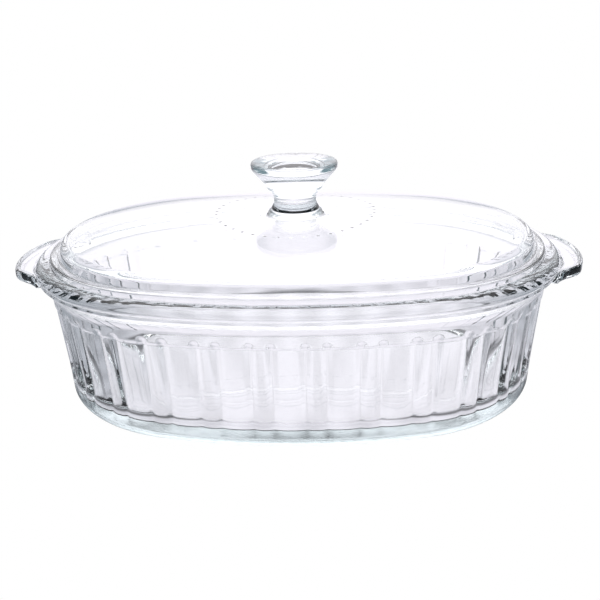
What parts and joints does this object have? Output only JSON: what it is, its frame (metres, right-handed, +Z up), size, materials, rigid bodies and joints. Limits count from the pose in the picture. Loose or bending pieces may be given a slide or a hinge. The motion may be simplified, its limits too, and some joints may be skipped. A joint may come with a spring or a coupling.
{
  "type": "covered oval casserole dish",
  "caption": "Fluted oval glass baking dish with two tab handles and a loose domed glass lid that lifts off by a mushroom knob.",
  "frame": {"origin": "centre of the dish's flat base, on the surface it stands on", "axes": "+X towards one handle along the long axis of the oval, +Y across the dish, +Z up, the way the lid lifts"},
  "size_m": [0.33, 0.211, 0.1354],
  "materials": {
    "dish_glass": "clear pressed glass, very faintly blue-green in the thick edges",
    "lid_glass": "clear pressed glass, very faintly blue-green in the thick edges"
  },
  "bodies": {
    "dish": {"dish": "dish_glass"},
    "lid": {"lid": "lid_glass"}
  },
  "joints": [
    {"name": "lid_lift", "type": "slide", "parent": "dish", "child": "lid", "axis": [0, 0, 1], "range_m": [0, 0.15]}
  ]
}
